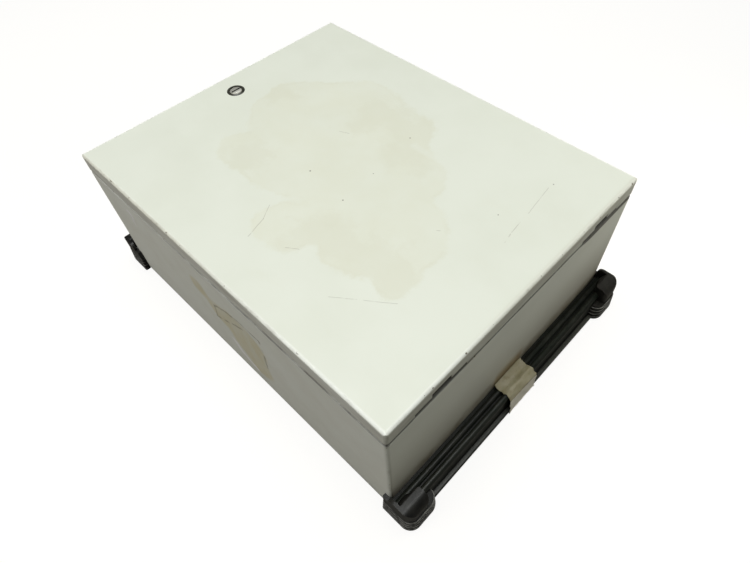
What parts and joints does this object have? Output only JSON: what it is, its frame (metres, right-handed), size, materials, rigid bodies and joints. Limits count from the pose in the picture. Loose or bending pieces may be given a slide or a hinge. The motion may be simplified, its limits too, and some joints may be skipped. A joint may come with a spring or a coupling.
{
  "type": "utility cabinet",
  "caption": "Flat sheet-steel utility cabinet lying on its back, with a hinged flush door, a cam lock and black moulded side rails with ribbed end caps.",
  "frame": {"origin": "middle of the back plane, on which the cabinet lies", "axes": "+Z out through the door, +X towards the hinges, +Y towards the side that hangs at the bottom on a wall"},
  "size_m": [0.571, 0.414, 0.2113],
  "materials": {
    "paint": "fine-textured pale grey powder coat, dulled and stained",
    "zinc_sheet": "zinc-plated sheet",
    "steel": "zinc-plated steel",
    "lock_core": "dull die-cast zinc",
    "lock_housing": "black moulded plastic",
    "rail": "black extruded plastic, satin",
    "cap": "black moulded plastic, matt",
    "foam": "closed-cell foam",
    "tape": "tan adhesive tape, wrinkled"
  },
  "bodies": {
    "cabinet": {"body_shell": "paint", "mounting_plate": "zinc_sheet", "plate_studs": "steel", "plate_washers": "steel", "plate_nuts": "steel", "earth_stud_body": "steel", "earth_nuts_body": "steel", "gland_seal": "foam", "gland_plate": "paint", "gland_screws": "steel", "gland_nuts": "steel", "hinge_bracket_top": "zinc_sheet", "hinge_bracket_bottom": "zinc_sheet", "hinge_screws": "steel", "rail_hinge_side": "rail", "rail_lock_side": "rail", "cap_hinge_top": "cap", "cap_hinge_bottom": "cap", "cap_lock_top": "cap", "cap_lock_bottom": "cap", "rail_screws": "steel", "cap_screws": "steel", "tape_band": "tape"},
    "door": {"door_panel": "paint", "door_seal": "foam", "hinge_leaf_top": "zinc_sheet", "hinge_leaf_bottom": "zinc_sheet", "hinge_pin_top": "steel", "hinge_pin_bottom": "steel", "lock_housing": "lock_housing", "lock_nut": "steel", "earth_stud_door": "steel", "earth_nuts_door": "steel"},
    "lock": {"lock_core": "lock_core", "lock_cam": "zinc_sheet", "cam_screw": "steel"}
  },
  "joints": [
    {"name": "door_hinge", "type": "hinge", "parent": "cabinet", "child": "door", "pos_m": [0.2445, 0, 0.194], "axis": [0, 1, 0], "range_deg": [0, 110]},
    {"name": "lock_turn", "type": "hinge", "parent": "door", "child": "lock", "pos_m": [-0.215, 0, 0.2], "axis": [0, 0, 1], "range_deg": [0, 90]}
  ]
}
